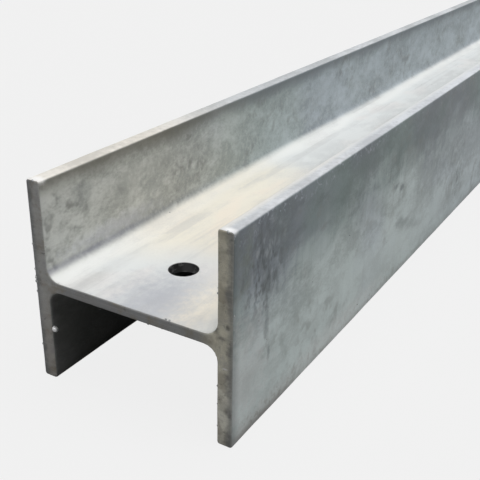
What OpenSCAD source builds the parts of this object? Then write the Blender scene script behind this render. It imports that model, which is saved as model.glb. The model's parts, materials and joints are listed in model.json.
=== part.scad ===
// Hot-dip galvanised steel H-beam: a rolled wide-flange section, sawn to length, with a bolt hole
// through the web near one end. It lies with its web level, on the toes of its two flanges.
// All sizes are in millimetres. +X runs along the beam, away from the drilled end, +Y runs across
// the section and +Z is up. The origin is on the floor, under the middle of the beam.

/* [Section] */
// Depth of the section, from the outer face of one flange to the outer face of the other
section_depth = 162; // [130:1:210]
// Width of each flange, which is the beam's height as it lies
flange_width = 154; // [120:1:200]
// Thickness of each flange
flange_thickness = 11.5; // [8:0.5:18]
// Thickness of the web
web_thickness = 8.1; // [5:0.1:14]
// Radius of the rolled fillet where the web meets a flange
root_radius = 10; // [5:0.5:16]
// Radius on the long edges of the flange toes
toe_radius = 2; // [0.5:0.25:3.5]

/* [Length] */
// Length of the beam, from sawn end to sawn end
beam_length = 1800; // [900:50:6000]

/* [Web hole] */
// Diameter of the bolt hole through the web
hole_diameter = 22; // [12:0.5:32]
// Distance from the drilled end to the middle of the hole
hole_end_distance = 65; // [40:1:150]

/* [Hidden] */
$fn = 96;

// How far a cutting tool runs past the faces that it cuts
cut_overrun = 1;

// Distance of each flange's middle plane from the beam's long middle plane
flange_offset = (section_depth - flange_thickness) / 2;
// Clear width of the web between the two flanges
clear_depth = section_depth - 2 * flange_thickness;
// Height of the web's middle plane above the floor
web_height = flange_width / 2;
// Place of the hole along the beam
hole_x = hole_end_distance - beam_length / 2;

zinc_grey = [0.56, 0.58, 0.58];

// The piece between two square edges and the arc that touches both, with its corner at the origin.
// Added to an inner corner it is a fillet, and cut from an outer corner it rounds that corner.
module spandrel(radius) {
    difference() {
        square(radius);
        translate([radius, radius]) circle(r = radius);
    }
}

// Mirrors its child about the section's two middle lines, so that it stands in all four quarters.
module four_ways() {
    for (left = [0, 1], below = [0, 1])
        mirror([left, 0]) mirror([0, below]) children();
}

// One flange seen from the end: a flat bar with its four toe edges rounded.
module flange_profile() {
    difference() {
        square([flange_thickness, flange_width], center = true);
        four_ways()
            translate([-flange_thickness / 2, -flange_width / 2]) spandrel(toe_radius);
    }
}

// The web seen from the end, with a fillet spreading into the flange at each of its corners.
module web_profile() {
    square([clear_depth, web_thickness], center = true);
    four_ways()
        translate([-clear_depth / 2, web_thickness / 2]) spandrel(root_radius);
}

// The whole rolled section, centred on its own middle.
module section_profile() {
    for (side = [-1, 1])
        translate([side * flange_offset, 0]) flange_profile();
    web_profile();
}

// The bolt hole, as the drill that cuts it.
module web_drill() {
    translate([hole_x, 0, web_height])
        cylinder(d = hole_diameter, h = web_thickness + 2 * cut_overrun, center = true);
}

// The finished beam, rolled along X and lifted onto its toes.
module h_beam() {
    color(zinc_grey)
        difference() {
            translate([0, 0, web_height])
                rotate([90, 0, 90])
                    linear_extrude(height = beam_length, center = true) section_profile();
            web_drill();
        }
}

h_beam();
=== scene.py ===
# %% [markdown]
# # A galvanised steel H-beam
# The object is one length of rolled H-section steel, sawn to length, drilled once through the web
# and dipped in molten zinc. The CAD model gives its exact form. This lesson gives it the things
# that the zinc bath leaves behind: a skin that is never quite flat, softened edges, small frozen
# beads, and a grey that changes from patch to patch.
# Every length is in metres and every piece stays in the CAD model's own frame: X runs along the
# beam, Y runs across it, Z is up, and the drilled end is at the low end of X.

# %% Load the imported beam
import json
import math

import bpy
from mathutils import Matrix, Vector


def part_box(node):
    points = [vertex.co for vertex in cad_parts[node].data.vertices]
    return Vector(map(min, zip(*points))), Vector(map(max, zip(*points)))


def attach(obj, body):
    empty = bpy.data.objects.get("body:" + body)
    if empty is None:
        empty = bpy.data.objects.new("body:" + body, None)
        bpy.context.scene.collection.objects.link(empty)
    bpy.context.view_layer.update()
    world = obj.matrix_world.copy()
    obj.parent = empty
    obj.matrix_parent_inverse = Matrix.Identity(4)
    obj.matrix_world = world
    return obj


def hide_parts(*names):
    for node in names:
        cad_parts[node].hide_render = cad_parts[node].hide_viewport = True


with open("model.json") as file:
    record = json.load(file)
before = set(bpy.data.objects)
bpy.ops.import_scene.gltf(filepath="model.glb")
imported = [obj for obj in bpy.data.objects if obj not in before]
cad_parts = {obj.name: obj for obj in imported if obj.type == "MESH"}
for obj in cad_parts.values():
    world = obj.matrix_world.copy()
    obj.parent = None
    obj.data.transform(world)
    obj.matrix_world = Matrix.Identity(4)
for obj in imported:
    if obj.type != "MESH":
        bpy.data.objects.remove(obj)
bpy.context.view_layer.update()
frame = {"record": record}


def short(numbers):
    return [round(number, 4) for number in numbers]


# %% [markdown]
# ## The sizes of the section
# A rolled section is known by a handful of sizes. The frame holds most of them: the box gives the
# length, depth and height, and the mounts say where the flange toes and the bolt hole are. Reading
# them from there keeps this file in step with the CAD model. Only the two radii are written here.

# %% Read the section's sizes
low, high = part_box("h_beam")
mounts = {mount["name"]: mount for mount in frame["record"]["mounts"]}
hole = mounts["web_hole"]

beam_length = high[0] - low[0]
section_depth = high[1] - low[1]
flange_width = high[2] - low[2]
flange_thickness = 2 * (high[1] - mounts["toe_rest_b"]["pos_m"][1])
web_thickness = hole["dims"]["length_mm"] / 1000
hole_radius = hole["dims"]["r_mm"] / 1000
hole_x = hole["pos_m"][0]
web_height = hole["pos_m"][2]
root_radius = 0.01
toe_radius = 0.002

drilled_x = low[0]
half_depth = section_depth / 2
inner_y = half_depth - flange_thickness
print("section:", short((section_depth, flange_width, flange_thickness, web_thickness)))

# %% [markdown]
# ## The camera
# The camera stands near the drilled end, above the beam and to its right, and looks along it. A
# camera can be aimed with a constraint or by hand, but a direction and a small roll are easier to
# read and give the same picture on every run.

# %% Place the camera
camera_spot = (-1.2526, -0.2923, 0.3396)
azimuth, elevation, roll = (math.radians(angle) for angle in (-59.51, 24.79, 0.98))
flat_part = math.cos(elevation)
look = Vector((-math.sin(azimuth) * flat_part, math.cos(azimuth) * flat_part, -math.sin(elevation)))
turn = look.to_track_quat("-Z", "Y").to_matrix() @ Matrix.Rotation(roll, 3, "Z")

scene = bpy.context.scene
camera = bpy.data.objects.new("camera", bpy.data.cameras.new("camera"))
camera.data.sensor_width = 36
camera.data.lens = 59.6
camera.data.clip_start = 0.01
camera.matrix_world = Matrix.Translation(camera_spot) @ turn.to_4x4()
scene.collection.objects.link(camera)
scene.camera = camera
print("camera looks along", short(look))

# %% [markdown]
# ## Small helpers for node trees
# Both the shapes and the finishes below are node trees built in code, and a few short helpers keep
# that readable. The first two fill an input and add a node. The next ones add what comes back most
# often: a sum, a product, a total of shares, a sum with vectors, the parts of a vector, a vector
# made of its parts, and a noise. The last one starts a group with named inputs and outputs.

# %% Define the node helpers
def plug(tree, socket, value):
    if isinstance(value, bpy.types.Node):
        value = value.outputs[0]
    if isinstance(value, bpy.types.NodeSocket):
        tree.links.new(value, socket)
    else:
        socket.default_value = value


def put(tree, kind, inputs=None, **settings):
    node = tree.nodes.new(kind)
    for name, value in settings.items():
        setattr(node, name, value)
    for key, value in (inputs or {}).items():
        plug(tree, node.inputs[key], value)
    return node


def calc(tree, operation, *values, clamp=False):
    inputs = dict(enumerate(values))
    return put(tree, "ShaderNodeMath", inputs, operation=operation, use_clamp=clamp).outputs[0]


def times(tree, product, *factors):
    for factor in factors:
        product = calc(tree, "MULTIPLY", product, factor)
    return product


def plus(tree, total, *terms):
    for value, share in terms:
        total = calc(tree, "MULTIPLY_ADD", value, share, total)
    return total


def vector_calc(tree, operation, *values, **named):
    inputs = {**dict(enumerate(values)), **named}
    return put(tree, "ShaderNodeVectorMath", inputs, operation=operation)


def parts(tree, vector):
    return put(tree, "ShaderNodeSeparateXYZ", {0: vector}).outputs


def vector_of(tree, **values):
    return put(tree, "ShaderNodeCombineXYZ", values).outputs[0]


def noise(tree, vector, scale, detail, roughness=0.5, distortion=0.0):
    return put(tree, "ShaderNodeTexNoise", {
        "Vector": vector, "Scale": scale, "Detail": detail, "Roughness": roughness, "Distortion": distortion,
    }).outputs[0]


def new_group(name, kind, inputs, outputs):
    tree = bpy.data.node_groups.new(name, kind)
    for way, sockets in (("INPUT", inputs), ("OUTPUT", outputs)):
        for label, socket, *value in sockets:
            item = tree.interface.new_socket(label, in_out=way, socket_type="NodeSocket" + socket)
            if value:
                item.default_value = value[0]
    return tree, tree.nodes.new("NodeGroupInput").outputs, tree.nodes.new("NodeGroupOutput").inputs


print("helpers ready")

# %% [markdown]
# ## The floor
# The beam lies on a plain pale floor. The floor shows most of its colour straight to the camera, so
# the background stays even and the shadow stays faint. The beam's own reflections see the same
# colour, but less of it under the beam, where little light reaches the floor.

# %% Make the floor
floor_half, nook_reach, shown_share = 9, 0.25, 0.88


def grey(value, red=0.0, blue=0.0):
    return (value + red, value, value + blue, 1)


def blank_finish(name):
    material = bpy.data.materials.new(name)
    material.use_nodes = True
    material.node_tree.nodes.clear()
    return material


floor_mesh = bpy.data.meshes.new("floor")
floor_corners = [(x * floor_half, y * floor_half, 0) for x, y in ((-1, -1), (1, -1), (1, 1), (-1, 1))]
floor_mesh.from_pydata(floor_corners, [], [(0, 1, 2, 3)])
floor = bpy.data.objects.new("floor", floor_mesh)
scene.collection.objects.link(floor)

floor_paint = blank_finish("floor_paint")
tree = floor_paint.node_tree
rays = put(tree, "ShaderNodeLightPath").outputs
nook = put(tree, "ShaderNodeAmbientOcclusion", {"Distance": nook_reach}, samples=8).outputs["AO"]
mirrored = calc(tree, "ADD", rays["Is Glossy Ray"], rays["Is Transmission Ray"], clamp=True)
shaded = times(tree, mirrored, calc(tree, "POWER", nook, 2))
seen = calc(tree, "ADD", rays["Is Camera Ray"], shaded, clamp=True)
lit = put(tree, "ShaderNodeBsdfDiffuse", {"Color": grey(0.25)})
shown = put(tree, "ShaderNodeEmission", {"Color": grey(0.96), "Strength": 1.0})
mixed = put(tree, "ShaderNodeMixShader", {0: times(tree, seen, shown_share), 1: lit, 2: shown})
put(tree, "ShaderNodeOutputMaterial", {"Surface": mixed})
floor_mesh.materials.append(floor_paint)
print("floor made")

# %% [markdown]
# ## The light
# A very wide, soft light comes from above and a weaker one from the side, which is how rolled stock
# looks under a cloudy sky or a studio ceiling: level faces are bright and upright faces are grey. A
# sun lamp with a wide disc does this evenly along the whole length, where an area lamp would fade
# towards the far end. The sky itself lights very little, and is pale only where it is seen.

# %% Make the sky and the lamps
sky_dim, sky_seen = 0.06, 0.871
sky = bpy.data.worlds.new("sky")
scene.world = sky
sky.use_nodes = True
tree = sky.node_tree
tree.nodes.clear()
rays = put(tree, "ShaderNodeLightPath").outputs
direct = calc(tree, "ADD", rays["Is Camera Ray"], rays["Is Glossy Ray"])
seen = calc(tree, "ADD", direct, rays["Is Transmission Ray"], clamp=True)
glow = put(tree, "ShaderNodeMapRange", {"Value": seen, "To Min": sky_dim, "To Max": sky_seen})
air = put(tree, "ShaderNodeBackground", {"Color": grey(1), "Strength": glow})
put(tree, "ShaderNodeOutputWorld", {"Surface": air})


def soft_lamp(name, travel, strength, spread):
    lamp = bpy.data.objects.new(name, bpy.data.lights.new(name, "SUN"))
    lamp.data.energy = strength
    lamp.data.angle = math.radians(spread)
    lamp.matrix_world = Vector(travel).to_track_quat("-Z", "Y").to_matrix().to_4x4()
    scene.collection.objects.link(lamp)


soft_lamp("ceiling", (-0.10, 0.10, -0.99), 2.60, 60)
soft_lamp("side", (-0.30, 0.80, -0.50), 0.95, 40)
scene.view_settings.view_transform = "Standard"
print("sky and lamps made")

# %% [markdown]
# ## Blank finishes
# The shapes name their materials, so the materials come first as blanks. Their nodes are filled in
# further down, once there is a surface to look at.

# %% Name the finishes
zinc_faces = blank_finish("zinc_faces")
zinc_sawn = blank_finish("zinc_sawn")
zinc_beads = blank_finish("zinc_beads")
print("finishes:", zinc_faces.name, zinc_sawn.name, zinc_beads.name)

# %% [markdown]
# ## The rolled outline
# A rolling mill squeezes a hot bar into one outline and keeps it along the whole length. The
# outline could be modelled by hand, but it follows a rule: six corners, then the same six turned
# half round. Geometry Nodes can place the corners from the section's sizes, round each one with
# its own radius (large in the roots, small at the toes) and cut the long straight runs into short
# steps, so that the zinc can be given relief later. It is a group of its own, because the beads
# further down follow the same outline.

# %% Place the outline's corners
section_inputs = [
    ("Section Depth", "Float", section_depth),
    ("Flange Width", "Float", flange_width),
    ("Flange Thickness", "Float", flange_thickness),
    ("Web Thickness", "Float", web_thickness),
    ("Root Radius", "Float", root_radius),
    ("Toe Radius", "Float", toe_radius),
    ("Step", "Float", 0.005),
]
outline, size, done = new_group(
    "section_outline", "GeometryNodeTree", section_inputs, [("Outline", "Geometry")],
)
outer = calc(outline, "DIVIDE", size["Section Depth"], 2)
inner = calc(outline, "SUBTRACT", outer, size["Flange Thickness"])
toe = calc(outline, "DIVIDE", size["Flange Width"], 2)
face = calc(outline, "DIVIDE", size["Web Thickness"], 2)
below, across = times(outline, toe, -1), times(outline, inner, -1)
half_round = [(outer, below), (outer, toe), (inner, toe), (inner, face), (across, face), (across, toe)]


def pick(tree, kind, index, values):
    switch = put(tree, "GeometryNodeIndexSwitch", data_type=kind)
    for _ in values[2:]:
        switch.index_switch_items.new()
    for slot, value in enumerate([index, *values]):
        plug(tree, switch.inputs[slot], value)
    return switch.outputs[0]


index = put(outline, "GeometryNodeInputIndex").outputs[0]
corner = calc(outline, "MODULO", index, len(half_round))
first_half = calc(outline, "LESS_THAN", index, len(half_round))
half_turn = calc(outline, "SUBTRACT", times(outline, first_half, 2), 1)
chosen = pick(outline, "VECTOR", corner, [vector_of(outline, X=y, Y=z) for y, z in half_round])
placed = vector_calc(outline, "SCALE", chosen, Scale=half_turn)
dots = put(outline, "GeometryNodePoints", {"Count": 2 * len(half_round), "Position": placed})
print("outline has", 2 * len(half_round), "corners")

# %% [markdown]
# The points become one closed curve. Corners 3 and 4 of each half are the roots, so they take the
# root radius and all others take the toe radius. The number of cuts in a run is its length divided
# by the step.

# %% Round the corners and cut the runs
is_root = calc(outline, "COMPARE", corner, 3.5, 0.6)
line = put(outline, "GeometryNodePointsToCurves", {"Points": dots})
loop = put(outline, "GeometryNodeSetSplineCyclic", {"Geometry": line, "Cyclic": True})
radius = put(outline, "ShaderNodeMix", {
    0: is_root, 2: size["Toe Radius"], 3: size["Root Radius"],
}, data_type="FLOAT")
rounded = put(outline, "GeometryNodeFilletCurve", {"Curve": loop, "Count": 5, "Radius": radius}, mode="POLY")

after = put(outline, "GeometryNodeOffsetPointInCurve", {"Point Index": index, "Offset": 1})
here = put(outline, "GeometryNodeInputPosition")
there = put(outline, "GeometryNodeFieldAtIndex", {
    "Value": here, "Index": after.outputs["Point Index"],
}, data_type="FLOAT_VECTOR")
run = vector_calc(outline, "DISTANCE", here, there).outputs["Value"]
cuts = calc(outline, "FLOOR", calc(outline, "DIVIDE", run, size["Step"]))
plug(outline, done[0], put(outline, "GeometryNodeSubdivideCurve", {"Curve": rounded, "Cuts": cuts}))


def outline_in(tree, given):
    section = {label: given[label] for label, *_ in section_inputs}
    return put(tree, "GeometryNodeGroup", section, node_tree=outline)


print("outline group has", len(outline.nodes), "nodes")

# %% [markdown]
# ## The beam
# The beam is the outline swept along a straight line. The sweep's rings stand closer together at
# the drilled end, where there is most to see. Zinc rounds every sawn edge a little, so two more
# rings at each end lie within the width of that rounding, ready to step inwards on a small arc.

# %% Build the beam's tree
end_rings, ring_gap = 2, 0.7
beam_inputs = section_inputs + [
    ("Length", "Float", beam_length),
    ("Rings", "Int", 350),
    ("Edge Radius", "Float", 0.0012),
    ("Hole Lip", "Float", 0.0004),
    ("Relief", "Float", 0.00045),
    ("Web Height", "Float", web_height),
    ("Hole Place", "Float", hole_x),
    ("Hole Radius", "Float", hole_radius),
    ("Faces Finish", "Material", zinc_faces),
    ("Sawn Finish", "Material", zinc_sawn),
]
beam, size, done = new_group("swept_beam", "GeometryNodeTree", beam_inputs, [("Beam", "Geometry")])
profile = outline_in(beam, size)

index = put(beam, "GeometryNodeInputIndex").outputs[0]
rings, edge = size["Rings"], size["Edge Radius"]
along = calc(beam, "DIVIDE", calc(beam, "SUBTRACT", index, end_rings), rings, clamp=True)
bunched = calc(beam, "ADD", times(beam, along, 0.6), times(beam, along, along, 0.4))
straight = calc(beam, "SUBTRACT", size["Length"], times(beam, edge, 2))
before = calc(beam, "SUBTRACT", end_rings, index)
beyond = calc(beam, "SUBTRACT", index, calc(beam, "ADD", rings, end_rings))
steps = [times(beam, calc(beam, "MAXIMUM", count, 0), ring_gap) for count in (before, beyond)]
first, last = (calc(beam, "MINIMUM", step, 1) for step in steps)
round_off = calc(beam, "SUBTRACT", last, first)
middle = times(beam, calc(beam, "SUBTRACT", bunched, 0.5), straight)
stops = put(beam, "GeometryNodePoints", {
    "Count": calc(beam, "ADD", rings, 2 * end_rings + 1),
    "Position": vector_of(beam, X=plus(beam, middle, (round_off, edge))),
})
sweep = {"Curve": put(beam, "GeometryNodePointsToCurves", {"Points": stops}), "Profile Curve": profile}
solid = put(beam, "GeometryNodeCurveToMesh", {**sweep, "Fill Caps": True})
tube = put(beam, "GeometryNodeCurveToMesh", {**sweep, "Fill Caps": False})
print("sweep laid out with", len(beam.nodes), "nodes")

# %% [markdown]
# The open tube has the same points as the closed beam, and its normals lie square to the beam's
# length even at the end rings. They are borrowed as the outward direction for the rounded edge and
# for the relief: the whole skin is pushed in and out by a fraction of a millimetre, as zinc never
# freezes quite flat. Two noises of different size make the relief, broad waves and finer lumps.
# Their coordinates are turned first, because noise is built on a grid, and the grid shows on a face
# that lies along it.

# %% Round the sawn edges and raise the zinc
noise_turn = (0.6, 0.35, 0.9)
outward = put(beam, "GeometryNodeSampleIndex", {
    "Geometry": tube, "Value": put(beam, "GeometryNodeInputNormal"), "Index": index,
}, data_type="FLOAT_VECTOR", domain="POINT")
spot = put(beam, "GeometryNodeInputPosition")
at = parts(beam, spot)
half_length = calc(beam, "DIVIDE", size["Length"], 2)
depth_in = calc(beam, "SUBTRACT", half_length, calc(beam, "ABSOLUTE", at["X"]))
lean = calc(beam, "SUBTRACT", 1, calc(beam, "DIVIDE", depth_in, edge), clamp=True)
arc = calc(beam, "SQRT", calc(beam, "SUBTRACT", 1, times(beam, lean, lean), clamp=True))
inset = times(beam, calc(beam, "SUBTRACT", arc, 1), edge)

skewed = put(beam, "ShaderNodeVectorRotate", {
    "Vector": spot, "Rotation": noise_turn,
}, rotation_type="EULER_XYZ")
waves, lumps = noise(beam, skewed, 22, 1), noise(beam, skewed, 95, 2)
swell = plus(beam, calc(beam, "SUBTRACT", waves, 0.8), (lumps, 0.6))
push = plus(beam, inset, (swell, size["Relief"]))
shift = vector_calc(beam, "SCALE", outward, Scale=push)
skin = put(beam, "GeometryNodeSetPosition", {"Geometry": solid, "Offset": shift})
print("relief and edges added")

# %% [markdown]
# The cutter for the bolt hole is a cylinder with many rows of points. Rows beyond the web's faces
# swell outwards, so the cut leaves a rounded lip as the zinc does.

# %% Drill the hole
lip = size["Hole Lip"]
drill = put(beam, "GeometryNodeMeshCylinder", {
    "Vertices": 64, "Side Segments": 40, "Radius": size["Hole Radius"],
    "Depth": times(beam, size["Web Thickness"], 1.6),
})
face_height = calc(beam, "SUBTRACT", calc(beam, "DIVIDE", size["Web Thickness"], 2), lip)
off_face = calc(beam, "SUBTRACT", calc(beam, "ABSOLUTE", at["Z"]), face_height)
past = calc(beam, "MAXIMUM", off_face, 0)
flare = calc(beam, "DIVIDE", times(beam, past, past), times(beam, lip, size["Hole Radius"]))
spread = vector_of(beam, X=times(beam, at["X"], flare), Y=times(beam, at["Y"], flare))
flared = put(beam, "GeometryNodeSetPosition", {"Geometry": drill, "Offset": spread})
cutter = put(beam, "GeometryNodeTransform", {
    "Geometry": flared, "Translation": vector_of(beam, X=size["Hole Place"]),
})
bored = put(beam, "GeometryNodeMeshBoolean", {
    "Mesh 1": skin, "Mesh 2": cutter,
}, operation="DIFFERENCE", solver="EXACT")
print("hole drilled")

# %% [markdown]
# Last, the beam is lifted onto its toes and each face is given its finish: faces at the ends that
# look along the beam are sawn, and all others are the rolled skin. The flat of a sawn end is shaded
# flat, and everything else is shaded smooth.

# %% Give the faces their finish
lift = vector_of(beam, Z=size["Web Height"])
stood = put(beam, "GeometryNodeTransform", {"Geometry": bored, "Translation": lift})
facing = calc(beam, "ABSOLUTE", parts(beam, put(beam, "GeometryNodeInputNormal"))["X"])
at_end = calc(beam, "LESS_THAN", depth_in, times(beam, edge, 1.5))
flat, sawn = (times(beam, at_end, calc(beam, "GREATER_THAN", facing, least)) for least in (0.97, 0.6))
smooth = put(beam, "GeometryNodeSetShadeSmooth", {
    "Geometry": stood, "Shade Smooth": calc(beam, "SUBTRACT", 1, flat),
})
whole = put(beam, "GeometryNodeRealizeInstances", {"Geometry": smooth})
zinced = put(beam, "GeometryNodeSetMaterial", {"Geometry": whole, "Material": size["Faces Finish"]})
plug(beam, done[0], put(beam, "GeometryNodeSetMaterial", {
    "Geometry": zinced, "Selection": sawn, "Material": size["Sawn Finish"],
}))
print("beam tree has", len(beam.nodes), "nodes")

# %% [markdown]
# ## From tree to plain mesh
# A modifier that is still live can't ride on a CAD body, and an exporter drops instances. So each
# tree is evaluated once, its result is copied to a plain mesh, and the modifier goes. A tree that
# works on a surface is given that surface as its starting mesh.

# %% Evaluate a tree and keep its mesh
def grow(name, tree, inputs, start=None):
    values = {label: value[0] for label, _, *value in inputs if value}
    piece = bpy.data.objects.new(name, start.copy() if start else bpy.data.meshes.new(name + "_start"))
    scene.collection.objects.link(piece)
    modifier = piece.modifiers.new(name, "NODES")
    modifier.node_group = tree
    for item in tree.interface.items_tree:
        if item.in_out == "INPUT" and item.name in values:
            modifier[item.identifier] = values[item.name]
    evaluated = piece.evaluated_get(bpy.context.evaluated_depsgraph_get())
    mesh = bpy.data.meshes.new_from_object(evaluated)
    piece.modifiers.remove(modifier)
    piece.data = mesh
    mesh.name = name
    if mesh.materials and mesh.materials[0] is None:
        mesh.materials.pop(index=0)
    triangles = sum(len(polygon.vertices) - 2 for polygon in mesh.polygons)
    print(name, "has", len(mesh.vertices), "points and", triangles, "triangles")
    return piece


beam_skin = grow("beam_skin", beam, beam_inputs)
print("size:", short(beam_skin.dimensions), "materials:", [m.name for m in beam_skin.data.materials])

# %% [markdown]
# ## Frozen beads
# Zinc that was still running when it froze leaves beads on the sawn edges, and specks of dross leave small
# pimples on the faces. Modelling each one would take a day, so a tree scatters one low bead. The larger
# beads that this beam shows are listed one by one: a white one under the web, dark ones down the outer edge
# of the same flange and one on each toe.

# %% List the placed beads
end_x, edge_y = drilled_x + 0.0008, half_depth - 0.0006
hand_beads = [((end_x, y, z), radius) for y, z, radius in (
    (inner_y - 0.0020, 0.0422, 0.0026),
    (edge_y, 0.1061, 0.0012),
    (edge_y, 0.0868, 0.0013),
    (edge_y, 0.0800, 0.0014),
    (edge_y, 0.0772, 0.0016),
    (edge_y, 0.0693, 0.0013),
    (edge_y, 0.0258, 0.0012),
    (0.0750, 0.1532, 0.0012),
    (-0.0765, 0.1532, 0.0012),
)]
print(len(hand_beads), "beads placed by hand")

# %% [markdown]
# On the edges the tree follows the outline group, alternately at either end, and keeps a random few
# of many points, but none so low that a bead would lift the beam off the floor. Every random choice
# is drawn from one seed, so the beads are the same on each run.

# %% Build the bead tree
floor_gap = 0.004
bead_inputs = [("Skin", "Geometry")] + section_inputs + [
    ("Length", "Float", beam_length),
    ("Web Height", "Float", web_height),
    ("Inset", "Float", 0.0011),
    ("Edge Points", "Int", 2600),
    ("Edge Share", "Float", 0.012),
    ("Bead Radius", "Float", 0.0009),
    ("Pimples Per Square Metre", "Float", 110.0),
    ("Pimple Radius", "Float", 0.0006),
    ("Seed", "Int", 7),
    ("Bead Finish", "Material", zinc_beads),
]
beads, size, done = new_group("bead_scatter", "GeometryNodeTree", bead_inputs, [("Beads", "Geometry")])


def chance(least, most, salt):
    seed = calc(beads, "ADD", size["Seed"], salt)
    node = put(beads, "FunctionNodeRandomValue", {"Seed": seed, 2: least, 3: most}, data_type="FLOAT")
    return node.outputs[1]


ring = put(beads, "GeometryNodeCurveToPoints", {
    "Curve": outline_in(beads, size), "Count": size["Edge Points"],
}, mode="COUNT")
index = put(beads, "GeometryNodeInputIndex").outputs[0]
at = parts(beads, put(beads, "GeometryNodeInputPosition"))
which_end = plus(beads, -1, (calc(beads, "MODULO", index, 2), 2))
reach = calc(beads, "SUBTRACT", calc(beads, "DIVIDE", size["Length"], 2), size["Inset"])
stood = vector_of(
    beads, X=times(beads, which_end, reach), Y=at["X"], Z=calc(beads, "ADD", at["Y"], size["Web Height"]),
)
edged = put(beads, "GeometryNodeSetPosition", {"Geometry": ring, "Position": stood})
dropped = calc(beads, "GREATER_THAN", chance(0, 1, 0), size["Edge Share"])
grounded = calc(beads, "LESS_THAN", at["Z"], floor_gap)
few = put(beads, "GeometryNodeDeleteGeometry", {
    "Geometry": edged, "Selection": calc(beads, "MAXIMUM", dropped, grounded),
}, domain="POINT")
spread = calc(beads, "POWER", chance(0.55, 1, 1), 2)
kept = put(beads, "GeometryNodeSetPointRadius", {
    "Points": few, "Radius": times(beads, spread, size["Bead Radius"]),
})
print("edge beads laid out")

# %% [markdown]
# The pimples are scattered over the beam's own mesh, on all faces but those that look down. They
# and the beads placed by hand join the edge beads as points. One sphere of a few dozen faces then
# stands on every point, turned and stretched a little by chance so that no two look alike.

# %% Add the pimples and the placed beads
full_turn = 6.28
tilt = parts(beads, put(beads, "GeometryNodeInputNormal"))["Z"]
pimples = put(beads, "GeometryNodeDistributePointsOnFaces", {
    "Mesh": size["Skin"], "Selection": calc(beads, "GREATER_THAN", tilt, -0.5),
    "Density": size["Pimples Per Square Metre"], "Seed": size["Seed"],
}, distribute_method="RANDOM")
small = put(beads, "GeometryNodeSetPointRadius", {
    "Points": pimples, "Radius": times(beads, chance(0.4, 1, 2), size["Pimple Radius"]),
})
spots, radii = zip(*hand_beads)
placed = put(beads, "GeometryNodePoints", {
    "Count": len(hand_beads),
    "Position": pick(beads, "VECTOR", index, spots), "Radius": pick(beads, "FLOAT", index, radii),
})
points = put(beads, "GeometryNodeJoinGeometry")
for group in (kept, small, placed):
    plug(beads, points.inputs[0], group)

ball = put(beads, "GeometryNodeMeshUVSphere", {"Segments": 8, "Rings": 6, "Radius": 1})
bead = put(beads, "GeometryNodeSetShadeSmooth", {"Geometry": ball})
turn = vector_of(beads, **{axis: chance(0, full_turn, salt) for salt, axis in enumerate("XYZ", 3)})
stretch = vector_of(beads, **{axis: chance(0.7, 1.1, salt) for salt, axis in enumerate("XYZ", 6)})
radius = put(beads, "GeometryNodeInputRadius")
scale = vector_calc(beads, "SCALE", stretch, Scale=radius)
set_out = put(beads, "GeometryNodeInstanceOnPoints", {
    "Points": points, "Instance": bead, "Rotation": turn, "Scale": scale,
})
whole = put(beads, "GeometryNodeRealizeInstances", {"Geometry": set_out})
plug(beads, done[0], put(beads, "GeometryNodeSetMaterial", {
    "Geometry": whole, "Material": size["Bead Finish"],
}))
zinc_bead_piece = grow("zinc_beads", beads, bead_inputs, beam_skin.data)

# %% [markdown]
# ## Helpers for the finishes
# The finishes turn distances into soft masks and lay colours over each other again and again. Four
# more helpers keep that short. One is a soft ramp between two values, one slides from a first to a
# last value as a mask goes from 0 to 1, and one lays a colour over another, by as much as the
# product of its masks. The last one does so for a list of coats, from the lowest to the topmost.

# %% Define the colour helpers
def ramp(tree, value, start, end, first=0.0, last=1.0):
    return put(tree, "ShaderNodeMapRange", {
        "Value": value, "From Min": start, "From Max": end, "To Min": first, "To Max": last,
    }, interpolation_type="SMOOTHSTEP").outputs[0]


def slide(tree, mask, first, last):
    return ramp(tree, mask, 0, 1, first, last)


def lay(tree, under, over, *masks):
    inputs = {0: times(tree, *masks), 6: under, 7: over}
    return put(tree, "ShaderNodeMix", inputs, data_type="RGBA").outputs[2]


def coats(tree, under, *rows):
    for over, *masks in rows:
        under = lay(tree, under, over, *masks)
    return under


print("a warm grey:", grey(0.5, red=0.03, blue=-0.04))

# %% [markdown]
# ## Mottled zinc
# As the zinc freezes it grows crystals, and later it dulls unevenly in the air. So its grey varies
# at three scales at once: broad clouds, crystal flowers about a centimetre wide, and a fine grain.
# A painted picture could hold this, but noise computed from the object's own coordinates has no
# seams and stays sharp at any distance. All three finishes use it, so it is a group.

# %% Build the mottle group
mottle, given, gives = new_group("zinc_mottle", "ShaderNodeTree", [
    ("Vector", "Vector"), ("Cloud Size", "Float", 0.05),
    ("Flower Size", "Float", 0.009), ("Grain Size", "Float", 0.0015),
], [("Cloud", "Float"), ("Flower", "Float"), ("Grain", "Float")])
spot = given["Vector"]
per_cloud, per_flower, per_grain = (
    calc(mottle, "DIVIDE", 1, given[label]) for label in ("Cloud Size", "Flower Size", "Grain Size")
)
bend = put(mottle, "ShaderNodeTexNoise", {"Vector": spot, "Scale": per_flower, "Detail": 3})
bent = vector_calc(mottle, "MULTIPLY_ADD", bend.outputs["Color"], given["Flower Size"], spot)
flower = put(mottle, "ShaderNodeTexVoronoi", {
    "Vector": bent, "Scale": per_flower, "Smoothness": 0.7,
}, feature="SMOOTH_F1")
plug(mottle, gives["Cloud"], noise(mottle, spot, per_cloud, 5, 0.62))
plug(mottle, gives["Flower"], put(mottle, "ShaderNodeSeparateColor", {0: flower.outputs["Color"]}))
plug(mottle, gives["Grain"], noise(mottle, spot, per_grain, 2))


def mottled(tree, vector, cloud, flower, grain=0.0015):
    inputs = {"Vector": vector, "Cloud Size": cloud, "Flower Size": flower, "Grain Size": grain}
    return put(tree, "ShaderNodeGroup", inputs, node_tree=mottle).outputs


print("mottle gives", [item.name for item in mottle.interface.items_tree if item.in_out == "OUTPUT"])

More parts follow.
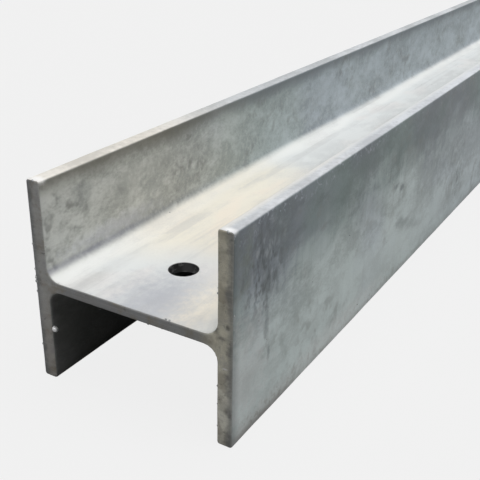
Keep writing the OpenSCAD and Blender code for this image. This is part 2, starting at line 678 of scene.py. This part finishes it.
# %% [markdown]
# ## Runs and stains
# When the beam is lifted out of the bath the zinc drains down its sides and freezes in faint
# upright runs. Later come stains: a splash, a scuff, a dark patch where something lay. A run is
# noise that is narrow along the beam and long in height. A stain is the distance to a chosen
# point, made ragged by noise, and is placed again and again with its own point and size.

# %% Build the run and stain groups
runs, given, gives = new_group("zinc_runs", "ShaderNodeTree", [
    ("Vector", "Vector"), ("Run Width", "Float", 0.006), ("Run Height", "Float", 0.09),
], [("Run", "Float")])
narrow = calc(runs, "DIVIDE", 1, given["Run Width"])
squeeze = vector_of(runs, X=narrow, Y=narrow, Z=calc(runs, "DIVIDE", 1, given["Run Height"]))
drawn = vector_calc(runs, "MULTIPLY", given["Vector"], squeeze)
streak = noise(runs, drawn, 1, 4, 0.7, 0.8)
plug(runs, gives["Run"], ramp(runs, streak, 0.38, 0.70))

stain, given, gives = new_group("zinc_stain", "ShaderNodeTree", [
    ("Vector", "Vector"), ("Centre", "Vector"),
    ("Reach", "Vector", (0.01, 0.01, 0.01)), ("Ragged", "Float", 1.0),
], [("Stain", "Float")])
offset = vector_calc(stain, "SUBTRACT", given["Vector"], given["Centre"])
scaled = vector_calc(stain, "DIVIDE", offset, given["Reach"])
away = vector_calc(stain, "LENGTH", scaled).outputs["Value"]
rag = calc(stain, "SUBTRACT", noise(stain, given["Vector"], 170, 3, 0.65), 0.5)
uneven = plus(stain, away, (rag, times(stain, given["Ragged"], 3)))
plug(stain, gives["Stain"], ramp(stain, uneven, 1.2, 0.1))


def stain_at(tree, place, centre, reach, ragged):
    inputs = {"Vector": place, "Centre": centre, "Reach": reach, "Ragged": ragged}
    return put(tree, "ShaderNodeGroup", inputs, node_tree=stain).outputs[0]


print("runs and stains ready")

# %% [markdown]
# ## The rolled faces
# The upright faces are mid grey, clouded and flowered. Near the drilled end the insides of the
# flanges lean to yellow, and elsewhere the zinc is cooler. So the finish starts with masks that say
# where a point is, and with noises. The clouds are drawn out along the beam, the way the rolls drew
# out the steel below them.

# %% Set up the masks of the rolled faces
tree = zinc_faces.node_tree
place = put(tree, "ShaderNodeTexCoord").outputs["Object"]
at = parts(tree, place)


def mapped(tree, vector, **moves):
    return put(tree, "ShaderNodeMapping", {"Vector": vector, **moves})


def from_end(start, end, first=0.0, last=1.0):
    return ramp(tree, at["X"], drilled_x + start, drilled_x + end, first, last)


off_middle = calc(tree, "ABSOLUTE", at["Y"])
outside = ramp(tree, off_middle, half_depth - 0.006, half_depth - 0.001)
inside = calc(tree, "SUBTRACT", 1, outside)
further = from_end(0.12, 0.32)
plain_part = times(tree, inside, further)

turned = mapped(tree, place, Rotation=noise_turn)
rolled = mapped(tree, place, Rotation=noise_turn, Scale=(0.45, 1, 0.9))
spots = mottled(tree, rolled, 0.034, 0.007)
tone = plus(tree, times(tree, spots["Grain"], 0.20), (spots["Flower"], 0.12), (spots["Cloud"], 0.68))
drift = noise(tree, turned, 6, 3)
print("masks ready")

# %% [markdown]
# Each kind of zinc is a pair of greys that the clouds mix. The cool zinc drifts between green and
# blue, and turns bluer further along. A fine grit of dark and light grains lies over it.

# %% Colour the upright faces
cloud_start, cloud_end = slide(tree, plain_part, 0.39, 0.34), slide(tree, plain_part, 0.61, 0.66)
clouded = ramp(tree, tone, cloud_start, cloud_end)
yellow_zinc, green_zinc, blue_zinc, dark_green, dark_blue = (lay(tree, *tones, clouded) for tones in (
    (grey(0.36, red=-0.01, blue=-0.02), grey(0.572, red=-0.014, blue=-0.028)),
    (grey(0.35, red=-0.046, blue=-0.008), grey(0.55, red=-0.066, blue=-0.008)),
    (grey(0.338, red=-0.04, blue=0.028), grey(0.525, red=-0.056, blue=0.036)),
    (grey(0.11, red=-0.034, blue=-0.004), grey(0.16, red=-0.044, blue=-0.005)),
    (grey(0.102, red=-0.015, blue=0.018), grey(0.147, red=-0.02, blue=0.025)),
))
bluer = calc(tree, "MAXIMUM", ramp(tree, drift, 0.42, 0.62), from_end(0.20, 0.60, 0, 0.9))
cool_zinc = lay(tree, green_zinc, blue_zinc, bluer)
upright = lay(tree, yellow_zinc, cool_zinc, calc(tree, "MAXIMUM", outside, further))

grit = noise(tree, turned, 190, 3, 0.75)
grit_share = times(tree, slide(tree, outside, 0.26, 0.14), ramp(tree, tone, 0.40, 0.58, 1, 0.35))
upright = coats(
    tree, upright,
    (grey(0.24, red=-0.01, blue=-0.01), ramp(tree, grit, 0.48, 0.66), grit_share),
    (grey(0.66, red=-0.02, blue=-0.02), ramp(tree, grit, 0.50, 0.34), grit_share),
)
print("upright faces coloured")

# %% [markdown]
# Several things darken the upright faces. Below the top edges the zinc is thin and dark, drifting between
# green and blue, widely on the outer faces and narrowly on the inner ones, with faint runs hanging from it.
# Dirt browns the foot near the drilled end. Painted shade draws a thin dark line along the sawn edges and
# another along the floor, and darkens the inner faces under the web. Each band is a soft ramp in height, and
# broad noise shifts that height so that the band wanders. Lower down, painted light makes the outer faces
# paler, as if lit from the floor.

# %% Add the dark bands
wander = calc(tree, "SUBTRACT", noise(tree, rolled, 13, 4, 0.6), 0.5)
run_sizes = {"Vector": place, "Run Width": 0.012, "Run Height": 0.10}
drained = put(tree, "ShaderNodeGroup", run_sizes, node_tree=runs).outputs[0]


def wandering(reach):
    return plus(tree, at["Z"], (wander, reach))


height = wandering(0.11)
# Painted light: the lower outer faces are paler, most near the drilled end, as if lit from the floor.
painted_bounce_light = times(tree, ramp(tree, height, 0.09, 0.02), outside, from_end(0.26, 0.46, 1, 0.45))
top_band = ramp(tree, plus(tree, height, (drained, 0.008)), 0.078, 0.139)
top_line = ramp(tree, wandering(0.028), flange_width - 0.017, flange_width)
foot = times(tree, ramp(tree, wandering(0.014), 0.02, 0.004), from_end(0.16, 0.04, 0, 0.55))
# Painted shade: a thin dark line along the foot of the upright faces, where the beam meets the floor.
painted_floor_shade, low_share = ramp(tree, wandering(0.008), 0.0085, 0.0030), from_end(0.11, 0.05, 0.20, 0.62)
# Painted shade: a thin dark line on the outer faces along both sawn edges.
painted_edge_shade = ramp(tree, calc(tree, "ABSOLUTE", at["X"]), high[0] - 0.01, high[0] - 0.001)
# Painted shade: the inner faces under the web are darkened.
painted_shade_under_web = ramp(tree, at["Z"], web_height, web_height - 0.015)

dark_zinc = lay(tree, dark_green, dark_blue, ramp(tree, drift, 0.42, 0.58))
brown_line = lay(tree, grey(0.115, red=0.006, blue=-0.026), grey(0.17, red=-0.02, blue=0.012), further)
# Of these coats, the first is painted light and the last three are painted shade.
upright = coats(
    tree, upright,
    (grey(0.66, red=-0.07, blue=-0.008), painted_bounce_light, 0.50),
    (dark_zinc, top_band, outside, 0.86),
    (dark_zinc, drained, 0.06),
    (brown_line, top_line, inside, 0.84),
    (grey(0.30, red=0.012, blue=-0.012), foot, outside),
    (grey(0.20, red=0.01, blue=-0.01), painted_floor_shade, low_share),
    (grey(0.135, red=-0.022, blue=-0.002), painted_edge_shade, outside, 0.6),
    (grey(0.10), painted_shade_under_web, inside, 0.70),
)
print("bands added")

# %% [markdown]
# Sparse dark blotches come from noise that is cut off high and kept to a few groups by a second,
# broader noise. Along the top of the outer faces the dark zinc has worn through to bright flecks,
# along the foot near the drilled end lie brown specks, and one patch there is scarred with short
# upright dashes, dark and light.

# %% Add blotches and flecks
speckle, groups = noise(tree, turned, 85, 2, 0.6), noise(tree, turned, 15, 1)
blotch = times(tree, ramp(tree, speckle, 0.48, 0.70), ramp(tree, groups, 0.44, 0.62))
blotch_share = plus(tree, slide(tree, plain_part, 0.64, 0.46), (outside, -0.28))
fleck = noise(tree, turned, 210, 3, 0.65)
top_edge = ramp(tree, at["Z"], flange_width - 0.016, flange_width - 0.003)
by_top = times(tree, top_edge, outside, ramp(tree, further, 1, 0, 0.3, 1))
by_floor = times(tree, ramp(tree, at["Z"], 0.024, 0.004), from_end(0.45, 0.15), outside)
scarred = stain_at(tree, place, (-0.864, -half_depth, 0.118), (0.034, 0.01, 0.042), 0.4)
upended = mapped(tree, place, Rotation=(0.2, 0.3, 0.4), Scale=(1, 1, 0.5))
dash = noise(tree, upended, 200, 2, 0.6)
upright = coats(
    tree, upright,
    (grey(0.17, red=-0.005, blue=-0.01), blotch, blotch_share),
    (grey(0.50, red=-0.03, blue=0.05), ramp(tree, fleck, 0.55, 0.70), by_top, 0.50),
    (grey(0.20, red=0.016, blue=-0.02), ramp(tree, fleck, 0.50, 0.64), by_floor, 0.60),
    (grey(0.075, red=-0.012, blue=0.004), ramp(tree, dash, 0.50, 0.64), scarred, 0.82),
    (grey(0.40, red=-0.03, blue=0.01), ramp(tree, dash, 0.47, 0.33), scarred, 0.40),
)
print("blotches and flecks added")

# %% [markdown]
# The level faces are paler: a white bloom forms where rain and dew lie on fresh zinc, and painted light
# makes them paler still, as light from above would. It is cool near the drilled end, cream a hand's breadth
# further on, then a cool white again, thinner along the middle of the web. Which face is level comes from
# the surface normal, so the bloom and painted light fade out round the root fillets by themselves, lower
# down the further it is from the drilled end.

# %% Lay the bloom and painted light on the level faces
upward = parts(tree, put(tree, "ShaderNodeNewGeometry").outputs["Normal"])["Z"]
up_high = ramp(tree, at["Z"], 0.12, 0.14)
level_start = slide(tree, up_high, from_end(0.30, 0.60, 0.35, 0.60), 0.35)
level_end = slide(tree, up_high, from_end(0.30, 0.60, 0.95, 1.05), 0.85)
# Painted light as well as bloom: level faces get a far paler colour than upright ones.
level = ramp(tree, upward, level_start, level_end)

distance = calc(tree, "SUBTRACT", at["X"], drilled_x)
drifted = plus(tree, distance, (calc(tree, "SUBTRACT", drift, 0.5), 0.22))
along = calc(tree, "ADD", drifted, ramp(tree, at["Y"], -0.025, -0.055, 0, 0.08))
cream = times(tree, ramp(tree, along, 0.06, 0.15), ramp(tree, along, 0.31, 0.21))
bloom_and_painted_light = lay(tree, grey(0.735, red=-0.018, blue=-0.004), grey(0.765, red=0.04, blue=-0.10), cream)
peach = lay(tree, grey(0.73, red=0.03, blue=-0.02), grey(0.76, red=0.085, blue=-0.11), cream)
tint = noise(tree, rolled, 34, 1)
bloom_and_painted_light = lay(tree, bloom_and_painted_light, peach, ramp(tree, tint, 0.50, 0.68, 0, 0.55))
mid_web = times(tree, ramp(tree, off_middle, 0.048, 0.016), ramp(tree, along, 0.20, 0.30))
bloom_and_painted_light = lay(tree, bloom_and_painted_light, grey(0.58, red=-0.02), mid_web, ramp(tree, tone, 0.62, 0.42, 0.30, 0.80))
print("bloom laid on")

# %% [markdown]
# Three patches of the web are this beam's own: a bluish one before the hole, which is painted shade from the
# right flange, a cream one beside it, which is cream zinc with painted light where that flange shades the
# web, and a dull one by the left root. Along the roots the web is painted whiter, a painted highlight. It is
# worn in places, and the rolls left faint lines along the web, which are noise stretched along the beam.

# %% Mark the web
# The first patch is painted shade, and the second is cream zinc with painted light.
web_patches = [
    ((-0.880, -0.013, web_height), (0.055, 0.044, 0.02), 0.87, grey(0.49, red=-0.015, blue=0.042)),
    ((-0.862, -0.051, web_height), (0.070, 0.032, 0.02), 0.92, grey(0.93, red=0.065, blue=-0.12)),
    ((-0.886, 0.045, web_height), (0.034, 0.008, 0.02), 0.60, grey(0.50, blue=-0.01)),
]
for centre, reach, strength, colour in web_patches:
    bloom_and_painted_light = lay(tree, bloom_and_painted_light, colour, stain_at(tree, place, centre, reach, 0.35), strength)
# Painted highlight: the web is whiter along both root fillets.
by_root = ramp(tree, plus(tree, off_middle, (wander, 0.03)), inner_y - 0.024, inner_y - 0.011)
painted_root_highlight = lay(tree, grey(0.89, red=-0.006, blue=-0.025), grey(0.84, red=0.03, blue=-0.08), cream)
long_way = mapped(tree, place, Location=(0.17, 0, 0.31), Scale=(2, 150, 2))
roll_line = noise(tree, long_way, 1, 1, distortion=0.5)
bare = ramp(tree, spots["Cloud"], 0.62, 0.40)
bloom_and_painted_light = coats(
    tree, bloom_and_painted_light,
    (painted_root_highlight, by_root, 0.8),
    (grey(0.50, red=-0.01, blue=0.01), ramp(tree, tone, 0.54, 0.34), 0.24),
    (grey(0.45), ramp(tree, roll_line, 0.50, 0.68), bare, 0.26),
)
print(len(web_patches), "patches on the web")

# %% [markdown]
# The toes were rubbed in handling, so they are patchy. One flange's toes are bluish and fade into
# the pale web on their inner side. The other's are grey, and cream near the drilled end.

# %% Colour the toes
wear = plus(tree, times(tree, fleck, 0.3), (spots["Cloud"], 0.3), (groups, 0.4))
rubbed = ramp(tree, wear, 0.40, 0.60)
blue_toe, grey_toe, warm_toe = (lay(tree, *tones, rubbed) for tones in (
    (grey(0.44, red=-0.022, blue=0.03), grey(0.66, red=-0.028, blue=0.04)),
    (grey(0.40, red=-0.02, blue=0.018), grey(0.59, red=-0.025, blue=0.028)),
    (grey(0.52, red=0.028, blue=-0.05), grey(0.72, red=0.034, blue=-0.06)),
))
left_side = ramp(tree, at["Y"], -0.02, 0.02)
left_toe = lay(tree, grey_toe, warm_toe, from_end(0.26, 0.10))
toe_colour = lay(tree, blue_toe, left_toe, left_side)
by_web = times(tree, ramp(tree, at["Y"], -0.0765, -0.0710), ramp(tree, left_side, 1, 0))
pale_edge, cream_edge = grey(0.71, red=-0.014, blue=0.004), grey(0.76, red=0.015, blue=-0.045)
toe_edge = lay(tree, pale_edge, cream_edge, from_end(0.22, 0.06))
toe_colour = lay(tree, toe_colour, toe_edge, by_web, 0.8)
on_toe = ramp(tree, at["Z"], flange_width - 0.006, flange_width - 0.001)
bloom_and_painted_light = lay(tree, bloom_and_painted_light, toe_colour, on_toe, 0.90)
# The level faces take the bloom and painted light.
skin_colour = lay(tree, upright, bloom_and_painted_light, level)
print("toes coloured")

# %% [markdown]
# Some marks belong to this one beam: lighter and darker patches on the flanges, a few streaks, specks and
# scuffs on the outside. The last two rows are painted highlights on the near corners of the toes. Each row
# below is one stain: its middle, its reach, how ragged it is, how strong it is and its colour.

# %% List the stains
right_y = -half_depth
dark, white = grey(0.09, red=-0.015, blue=0.005), grey(0.95)
stains = [
    ((-0.793, inner_y, 0.121), (0.034, 0.01, 0.022), 0.8, 0.30, grey(0.68, red=-0.015, blue=-0.035)),
    ((-0.825, inner_y, 0.0950), (0.070, 0.02, 0.0085), 0.5, 0.36, grey(0.64, red=-0.01, blue=0.07)),
    ((-0.690, right_y, 0.093), (0.050, 0.01, 0.030), 0.8, 0.30, grey(0.52, red=-0.05, blue=0.02)),
    ((-0.475, right_y, 0.097), (0.085, 0.01, 0.042), 0.8, 0.50, grey(0.20, red=-0.025, blue=0.012)),
    ((-0.8595, inner_y, 0.1323), (0.0115, 0.01, 0.0130), 0.5, 0.42, dark),
    ((-0.777, inner_y, 0.112), (0.020, 0.01, 0.014), 1.0, 0.36, dark),
    ((-0.815, inner_y, 0.120), (0.010, 0.01, 0.009), 1.0, 0.26, dark),
    ((-0.728, inner_y, 0.106), (0.016, 0.01, 0.012), 1.0, 0.28, dark),
    ((-0.890, right_y, 0.048), (0.045, 0.01, 0.050), 0.8, 0.26, grey(0.55, red=0.03)),
    ((-0.885, right_y, 0.128), (0.010, 0.01, 0.024), 0.8, 0.40, grey(0.17, red=-0.03, blue=-0.035)),
    ((-0.860, right_y, 0.106), (0.010, 0.01, 0.020), 1.0, 0.50, dark),
    ((-0.858, right_y, 0.072), (0.004, 0.01, 0.016), 0.8, 0.45, dark),
    ((-0.889, right_y, 0.117), (0.003, 0.01, 0.006), 0.6, 0.60, dark),
    ((-0.854, right_y, 0.050), (0.003, 0.01, 0.008), 0.6, 0.50, dark),
    ((-0.613, right_y, 0.090), (0.008, 0.01, 0.005), 0.8, 0.62, dark),
    ((-0.628, right_y, 0.095), (0.007, 0.01, 0.004), 0.8, 0.56, dark),
    ((-0.610, right_y, 0.055), (0.015, 0.01, 0.006), 0.35, 0.36, dark),
    ((-0.596, right_y, 0.049), (0.015, 0.01, 0.006), 0.35, 0.36, dark),
    ((-0.580, right_y, 0.042), (0.015, 0.01, 0.006), 0.35, 0.30, dark),
    ((-0.562, right_y, 0.036), (0.015, 0.01, 0.005), 0.35, 0.26, dark),
    ((-0.430, right_y, 0.040), (0.012, 0.01, 0.018), 1.4, 0.36, dark),
    ((-0.735, right_y, 0.010), (0.120, 0.01, 0.014), 0.4, 0.45, grey(0.74, red=-0.03, blue=-0.01)),
    # Painted highlights: bright near corners of the two toes.
    ((-0.897, 0.075, flange_width), (0.006, 0.009, 0.005), 0.3, 0.75, white),
    ((-0.898, -0.0765, flange_width), (0.0045, 0.006, 0.005), 0.2, 0.90, white),
]
print(len(stains), "stains listed")

# %% [markdown]
# A bluish line of painted shade low in each root near the drilled end comes first, and the stains go over
# it.
# The bore of the hole is painted dark as shade, with lighter spots as painted glints.

# %% Place the stains
root_height = web_height + web_thickness / 2 + 0.62 * root_radius
off_root = calc(tree, "ABSOLUTE", calc(tree, "SUBTRACT", at["Z"], root_height))
# Painted shade: a bluish dark line low in each root fillet near the drilled end.
painted_root_shade, root_share = ramp(tree, off_root, 0.0040, 0.0004), from_end(0.16, 0.06, 0.06, 0.44)
marked = lay(tree, skin_colour, grey(0.18, red=-0.005, blue=0.07), painted_root_shade, inside, root_share)
for centre, reach, ragged, strength, colour in stains:
    marked = lay(tree, marked, colour, stain_at(tree, place, centre, reach, ragged), strength)

flat = vector_of(tree, X=at["X"], Y=at["Y"])
from_hole = vector_calc(tree, "DISTANCE", flat, (hole_x, 0, 0)).outputs["Value"]
# Painted shade in the bore of the hole, with lighter spots as painted glints.
bore = lay(tree, grey(0.06), grey(0.24), ramp(tree, fleck, 0.50, 0.68))
marked = lay(tree, marked, bore, ramp(tree, from_hole, hole_radius + 0.0005, hole_radius))
print("stains and bore placed")

# %% [markdown]
# Dull zinc is part metal and part oxide, so the shader is only partly metallic and rather rough.
# The pale bloom is an oxide, so it is hardly metallic and duller still. The flowers and the grain
# also tilt the surface a little, through a bump.

# %% Finish the rolled faces
def surface(tree, looks):
    put(tree, "ShaderNodeOutputMaterial", {"Surface": put(tree, "ShaderNodeBsdfPrincipled", looks)})
    print("finish uses", len(tree.nodes), "nodes")


rough = plus(tree, 0.30, (spots["Grain"], 0.12), (spots["Cloud"], 0.22), (level, 0.20))
metal = plus(tree, 0.30, (level, -0.27))
relief = plus(tree, spots["Cloud"], (spots["Grain"], 0.5), (spots["Flower"], 0.35))
bump = put(tree, "ShaderNodeBump", {"Height": relief, "Strength": 0.35, "Distance": 0.0008})
surface(tree, {"Base Color": marked, "Metallic": metal, "Roughness": rough, "Normal": bump})

# %% [markdown]
# ## The sawn ends
# The ends were cut by a saw before the bath, and the zinc took on the cut's texture. They are darker
# and browner than the rolled faces, most of all on one flange, with brown and grey patches, a cooler
# web and a dark cool rim along the outer edges. The mottle group gives the blotches.

# %% Colour the sawn ends
tree = zinc_sawn.node_tree
place = put(tree, "ShaderNodeTexCoord").outputs["Object"]
at = parts(tree, place)
spots = mottled(tree, place, 0.016, 0.004, 0.0008)
tone = plus(tree, times(tree, spots["Grain"], 0.25), (spots["Cloud"], 0.75))
patchy = noise(tree, place, 60, 3, 0.65)
off_middle = calc(tree, "ABSOLUTE", at["Y"])

lower = ramp(tree, at["Z"], web_height, 0.02)
flange_grey = lay(tree, grey(0.39, blue=-0.01), grey(0.37, red=0.018, blue=-0.02), lower)
flange_brown = lay(tree, grey(0.62, red=0.024, blue=-0.11), grey(0.80, red=0.01, blue=-0.095), lower)
cut = lay(tree, flange_grey, flange_brown, ramp(tree, at["Y"], 0, -0.07))
on_web = ramp(tree, off_middle, inner_y, inner_y - 0.016)
uneven = plus(tree, off_middle, (calc(tree, "SUBTRACT", patchy, 0.5), 0.012))
rim = ramp(tree, uneven, half_depth - 0.0062, half_depth - 0.0008)
cut = coats(
    tree, cut,
    (grey(0.24, red=-0.008, blue=0.01), on_web, 0.85),
    (grey(0.16, red=0.012, blue=-0.025), ramp(tree, tone, 0.60, 0.36), 0.42),
    (grey(0.19, red=0.032, blue=-0.055), ramp(tree, patchy, 0.46, 0.66, 0, 0.55)),
    (grey(0.26, red=0.004, blue=0.012), ramp(tree, patchy, 0.46, 0.30, 0, 0.45)),
    (grey(0.125, red=-0.012, blue=0.014), rim, 0.70),
)
print("sawn ends coloured")

# %% [markdown]
# The saw left fine slanted marks, which are noise stretched along the cut, and small pits. A few
# flaws near one root are placed one by one, dark ones and a bright scratch.

# %% Add saw marks, pits and flaws
saw_slant = math.radians(14)
slanted = mapped(tree, place, Rotation=(saw_slant, 0, 0), Scale=(1, 12, 900))
kerf = noise(tree, slanted, 1, 2)
pit = ramp(tree, noise(tree, place, 260, 2), 0.62, 0.78)
saw_mark = grey(0.46, red=0.01, blue=-0.03), ramp(tree, kerf, 0.52, 0.70), 0.20
cut = coats(tree, cut, saw_mark, (grey(0.09), pit, 0.5))
flaws = [
    ((drilled_x, -0.0680, 0.0862), (0.01, 0.0034, 0.0042), 0.90, 0.04),
    ((drilled_x, -0.0770, 0.0902), (0.01, 0.0022, 0.0024), 0.75, 0.05),
    ((drilled_x, -0.0735, 0.0810), (0.01, 0.0050, 0.0022), 0.60, 0.07),
    ((drilled_x, -0.0756, 0.0599), (0.01, 0.0024, 0.0008), 0.80, 0.75),
]
for centre, reach, strength, value in flaws:
    cut = lay(tree, cut, grey(value), stain_at(tree, place, centre, reach, 0.5), strength)
depth = calc(tree, "SUBTRACT", plus(tree, tone, (kerf, 0.5)), pit)
bump = put(tree, "ShaderNodeBump", {"Height": depth, "Strength": 0.5, "Distance": 0.0006})
surface(tree, {"Base Color": cut, "Metallic": 0.25, "Roughness": 0.58, "Normal": bump})

# %% [markdown]
# ## The beads' finish
# A bead is the same zinc, but it froze last and gathered dross and dirt, so most beads are darker
# than the skin round them. The one under the web stayed white, so a white stain is placed on it.

# %% Finish the beads
tree = zinc_beads.node_tree
place = put(tree, "ShaderNodeTexCoord").outputs["Object"]
spots = mottled(tree, place, 0.004, 0.002, 0.0006)
cloudy = ramp(tree, spots["Cloud"], 0.35, 0.65)
bead_colour = lay(tree, grey(0.26, red=-0.01), grey(0.46, red=-0.015), cloudy)
white_bead = stain_at(tree, place, hand_beads[0][0], (0.006, 0.006, 0.006), 0)
bead_colour = lay(tree, bead_colour, white, white_bead)
rough = plus(tree, 0.28, (spots["Grain"], 0.2))
surface(tree, {"Base Color": bead_colour, "Metallic": 0.35, "Roughness": rough})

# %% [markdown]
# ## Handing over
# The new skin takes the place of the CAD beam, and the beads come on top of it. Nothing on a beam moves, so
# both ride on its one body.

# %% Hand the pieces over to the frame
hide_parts("h_beam")
for piece in (beam_skin, zinc_bead_piece):
    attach(piece, "root")
print("pieces handed over:", beam_skin.name, zinc_bead_piece.name)
